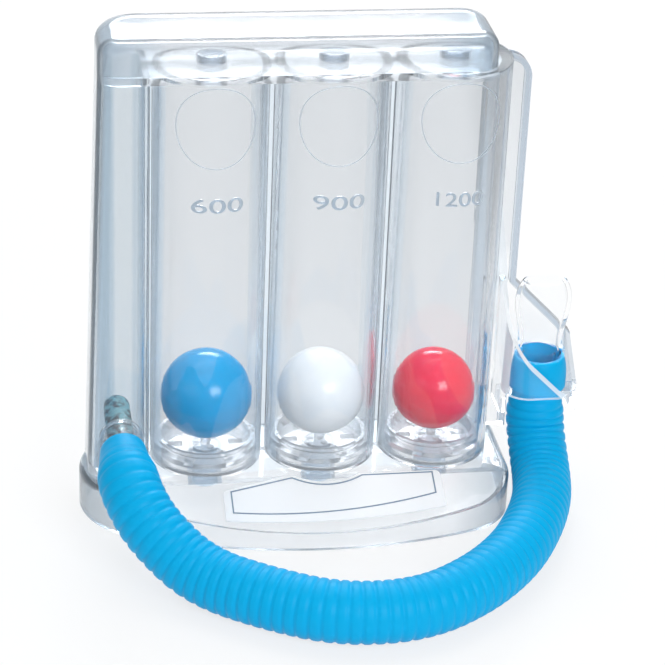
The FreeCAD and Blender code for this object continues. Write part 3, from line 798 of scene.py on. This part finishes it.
# The raised marks on the fronts of the chambers: a plain number for each chamber's flow and a
# thin ring above it, moulded in the wall and printed over in a pale grey.
MARK_GREY = (0.50, 0.57, 0.64, 1)
RING_GREY = (0.72, 0.77, 0.82, 1)
MARK_CLEAR = 0.6
RING_CLEAR = 0.85
MARK_HEIGHT = 0.0042
FIGURE_SHARE = 0.7
MARK_BOLD = 0.00003
MARK_PLACE = 0.0985
MARK_PROUD = 0.00012
MARK_WIDTH = 0.0150
MARK_SIDEWAYS = (0.0005, 0.0005, 0.0000)
RING_RADIUS = 0.0118
RING_LINE = 0.0003
RING_IOR = 1.1
RING_SUNK = 0.00002
RING_PLACE = 0.1235
RING_STEPS = 96


def line_loop(name, sections, material):
    """A thin raised line that closes on itself, from the four corners of each of its sections."""
    shape = bmesh.new()
    loops = [[shape.verts.new(corner) for corner in section] for section in sections]
    for index, here in enumerate(loops):
        there = loops[(index + 1) % len(loops)]
        for corner in range(4):
            after = (corner + 1) % 4
            shape.faces.new((here[corner], there[corner], there[after], here[after]))
    bmesh.ops.recalc_face_normals(shape, faces=shape.faces)
    mesh = bpy.data.meshes.new(name)
    shape.to_mesh(mesh)
    shape.free()
    mesh.materials.append(material)
    return mesh


def wrap(mesh, axis, radius):
    """Bend a flat mesh in the XZ plane round an upright axis."""
    for vertex in mesh.vertices:
        angle = vertex.co.x / radius
        reach = radius + vertex.co.y
        vertex.co = (axis.x + reach * math.sin(angle), axis.y - reach * math.cos(angle), vertex.co.z)


def number_mesh(word, sideways, material):
    curve = bpy.data.curves.new("number_" + word, "FONT")
    curve.body = word
    curve.align_x = "CENTER"
    curve.size = MARK_HEIGHT / FIGURE_SHARE
    curve.extrude = MARK_PROUD
    curve.offset = MARK_BOLD
    letters = add_object("number_" + word, curve)
    mesh = plain_mesh("number_" + word, letters)
    bpy.data.objects.remove(letters)
    stretch = MARK_WIDTH / max(vertex.co.x for vertex in mesh.vertices) / 2
    for vertex in mesh.vertices:
        vertex.co = (vertex.co.x * stretch + sideways, -vertex.co.z, vertex.co.y + MARK_PLACE)
    mesh.materials.clear()
    mesh.materials.append(material)
    return mesh


def ring_mesh(word, material):
    sections = []
    for step in range(RING_STEPS):
        angle = math.tau * step / RING_STEPS
        section = []
        for reach, rise in ((-1, RING_SUNK), (1, RING_SUNK), (1, MARK_PROUD), (-1, MARK_PROUD)):
            radius = RING_RADIUS + reach * RING_LINE / 2
            section.append((radius * math.cos(angle), rise, RING_PLACE + radius * math.sin(angle)))
        sections.append(section)
    return line_loop("ring_" + word, sections, material)


def chamber_marks():
    marks = clear_finish("mark_print", MARK_GREY, MARK_CLEAR, roughness=0.4, ripple=0.0)
    rings = clear_finish("mark_ring", RING_GREY, RING_CLEAR, roughness=0.4, ripple=0.0,
                         ior=RING_IOR)
    radius = (chamber_high.y - chamber_low.y) / 2
    for word, sideways in zip(BALLS, MARK_SIDEWAYS):
        low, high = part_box("ball_seat_" + word)
        axis = (low + high) / 2
        number = number_mesh(word, sideways, marks.material)
        for mesh in (number, ring_mesh(word, rings.material)):
            wrap(mesh, axis, radius)
            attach(add_object(mesh.name, mesh), "trainer")


chamber_marks()

# The label: a blank white paper sticker on the foot's slope, with a printed dark line inside
# its edge that follows the notch round the middle chamber.
LABEL_WHITE = (0.98, 0.97, 0.96, 1)
LABEL_INK = (0.20, 0.27, 0.36, 1)
LABEL_SLOPE = 0.3866
LINE_WIDTH = 0.00042
LINE_LIFT = 0.00002
LINE_THICK = 0.00003
LINE_SIDE_GAP = 0.0023
LINE_LOW_GAP = 0.0028
LINE_TOP_GAP = 0.0006
LINE_NOTCH = 0.0209
LINE_CORNER_CUT = 0.0180
LINE_CUT_DEPTH = 0.0038
LINE_ARC = 0.162
LINE_ARC_X = -0.009
LINE_NOTCH_STEPS = 12
LINE_ARC_STEPS = 24
LINE_MITRE = 0.5


def label_finish():
    finish = Finish("label_paper", LABEL_WHITE, roughness=0.45)
    finish.bump(finish.noise(scale=2500, detail=5), strength=0.08, distance=0.00005)
    return finish.material


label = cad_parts["front_label"]
label.data.materials.clear()
label.data.materials.append(label_finish())


def border_points():
    """The border's corners and arcs in plan, from the top of the notch round by the left."""
    low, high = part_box("front_label")
    left = low.x + LINE_SIDE_GAP
    right = high.x - LINE_SIDE_GAP
    top = high.y - LINE_TOP_GAP
    bottom = low.y + LINE_LOW_GAP
    points = []
    reach = math.acos((AXIS.y - top) / LINE_NOTCH)
    for step in range(LINE_NOTCH_STEPS + 1):
        angle = reach - 2 * reach * step / LINE_NOTCH_STEPS
        points.append((AXIS.x + LINE_NOTCH * math.sin(angle), AXIS.y - LINE_NOTCH * math.cos(angle)))
    points.append((left + LINE_CORNER_CUT, top))
    points.append((left, top - LINE_CUT_DEPTH))
    for step in range(LINE_ARC_STEPS + 1):
        x = left + (right - left) * step / LINE_ARC_STEPS
        points.append((x, bottom + (x - AXIS.x - LINE_ARC_X) ** 2 / (2 * LINE_ARC)))
    points.append((right, top))
    return points, high


def label_border():
    plan, high = border_points()
    count = len(plan)
    sections = []
    for index, (x, y) in enumerate(plan):
        before = Vector(plan[index - 1])
        after = Vector(plan[(index + 1) % count])
        here = Vector((x, y))
        turn_in = (here - before).normalized()
        turn_out = (after - here).normalized()
        across = Vector((-(turn_in + turn_out).y, (turn_in + turn_out).x)).normalized()
        across *= LINE_WIDTH / 2 / max(LINE_MITRE, across.dot(Vector((-turn_in.y, turn_in.x))))
        section = []
        for side, rise in ((-1, 0), (1, 0), (1, LINE_THICK), (-1, LINE_THICK)):
            place = here + side * across
            level = high.z - LABEL_SLOPE * (high.y - place.y) + LINE_LIFT + rise
            section.append((place.x, place.y, level))
        sections.append(section)
    ink = Finish("label_ink", LABEL_INK, roughness=0.4)
    border = line_loop("label_border", sections, ink.material)
    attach(add_object("label_border", border), "trainer")


label_border()

# The stage: a white floor under soft studio lamps. It glows white to the camera; in reflections and
# through the clear plastic its glow is painted dimmer towards its far sides and its front. It keeps
# part of its own shading so that the trainer's shadow lies on it.
FLOOR_SIZE = 3.0
FLOOR_GLOW = 0.75
FLOOR_DROP = -0.0001
FLOOR_WHITE = (0.9, 0.9, 0.9, 1)
FLOOR_LIT = 0.11
FLOOR_DIM = 0.24
FLOOR_FRONT_LIT = -0.12
FLOOR_FRONT_DIM = -0.26
FLOOR_EDGE = 0.35
WORLD_FROM = -0.5
WORLD_TO = 0.4
WORLD_DIM = 0.42
WORLD_BRIGHT = 0.8
WORLD_SIDE_FROM = 0.3
WORLD_SIDE_TO = 0.8
WORLD_SIDE = 0.45
WORLD_COLOUR = (0.91, 0.955, 1.0, 1)


def floor():
    shape = bmesh.new()
    half = FLOOR_SIZE / 2
    corners = ((-half, -half), (half, -half), (half, half), (-half, half))
    shape.faces.new([shape.verts.new((x, y, FLOOR_DROP)) for x, y in corners])
    mesh = bpy.data.meshes.new("floor")
    shape.to_mesh(mesh)
    shape.free()
    finish = Finish("floor_white", FLOOR_WHITE, roughness=0.9)
    # Painted shade: in reflections and through the plastic the floor's glow dims towards its far
    # sides and its front.
    aside = finish.math("ABSOLUTE", finish.place("X"))
    far = finish.ramp(aside, FLOOR_LIT, FLOOR_DIM, 1.0, FLOOR_EDGE)
    front = finish.ramp(finish.place("Y"), FLOOR_FRONT_DIM, FLOOR_FRONT_LIT, FLOOR_EDGE, 1.0)
    path = finish.node("ShaderNodeLightPath")
    camera_ray = path.outputs["Is Camera Ray"]
    glow = finish.node("ShaderNodeEmission")
    finish.link(finish.math("MAXIMUM", camera_ray, finish.math("MULTIPLY", far, front)),
                glow.inputs["Strength"])
    mirrored = finish.math("MAXIMUM", camera_ray, path.outputs["Is Glossy Ray"])
    seen = finish.math("MAXIMUM", mirrored, path.outputs["Is Transmission Ray"])
    finish.give_way(finish.math("MULTIPLY", seen, FLOOR_GLOW), glow.outputs["Emission"])
    mesh.materials.append(finish.material)
    add_object("floor", mesh)


floor()


def lamp(name, place, target, width, height, power):
    light = bpy.data.lights.new(name, "AREA")
    light.shape = "RECTANGLE"
    light.size = width
    light.size_y = height
    light.energy = power
    piece = add_object(name, light)
    direction = Vector(target) - Vector(place)
    piece.location = place
    piece.rotation_euler = direction.to_track_quat("-Z", "Y").to_euler()


lamp("key", place=(0.27, -0.83, 0.56), target=(0, 0, 0.07), width=0.40, height=0.40, power=5.0)
lamp("fill", place=(-0.75, -0.55, 0.55), target=(0, 0, 0.07), width=0.6, height=0.6, power=1.1)
lamp("top", place=(0, 0.25, 1.0), target=(0, 0, 0.1), width=0.8, height=0.4, power=2.5)
lamp("back", place=(0.139, 0.883, 0.611), target=(-0.01, 0.01, 0.147), width=0.50, height=0.20,
     power=4)


def studio_world():
    """Bright behind the object and dim on the camera's side, which leaves soft grey edges."""
    world = bpy.data.worlds.new("studio")
    bpy.context.scene.world = world
    world.use_nodes = True
    shading = Shading(world.node_tree)
    background = world.node_tree.nodes["Background"]
    background.inputs["Color"].default_value = WORLD_COLOUR
    ahead = shading.ramp(shading.place("Y", "Generated"), WORLD_FROM, WORLD_TO, WORLD_DIM,
                         WORLD_BRIGHT)
    aside = shading.math("ABSOLUTE", shading.place("X", "Generated"))
    sides = shading.ramp(aside, WORLD_SIDE_FROM, WORLD_SIDE_TO, 1.0, WORLD_SIDE)
    shading.link(shading.math("MULTIPLY", ahead, sides), background.inputs["Strength"])


studio_world()

scene = bpy.context.scene
scene.view_settings.view_transform = "Standard"
scene.cycles.max_bounces = 16
scene.cycles.transmission_bounces = 16
scene.cycles.transparent_max_bounces = 24
